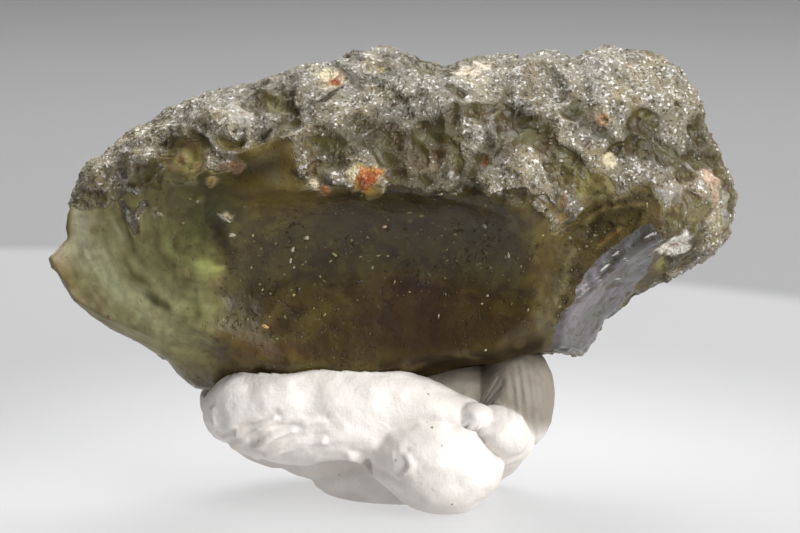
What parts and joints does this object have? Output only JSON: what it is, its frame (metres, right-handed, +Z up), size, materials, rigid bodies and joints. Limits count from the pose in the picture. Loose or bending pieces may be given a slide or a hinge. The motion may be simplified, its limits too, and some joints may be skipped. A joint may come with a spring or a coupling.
{
  "type": "moldavite specimen on a putty stand",
  "caption": "Rough green impact glass with an etched, frosted crown and a smooth chipped hollow in front, held upright by a lump of white mounting putty.",
  "frame": {"origin": "on the surface it stands on, below the middle of the whole object's box", "axes": "+X along the stone from its thin tip to its blunt end, +Z up, and the chipped hollow faces -Y"},
  "size_m": [0.0438, 0.0178, 0.0289],
  "materials": {
    "moldavite_glass": "see-through olive green glass, frosted and etched on the crown and the blunt end, glossy where it was chipped",
    "mounting_putty": "matt white putty with finger creases"
  },
  "bodies": {
    "root": {"moldavite": "moldavite_glass", "putty_stand": "mounting_putty"}
  },
  "joints": []
}
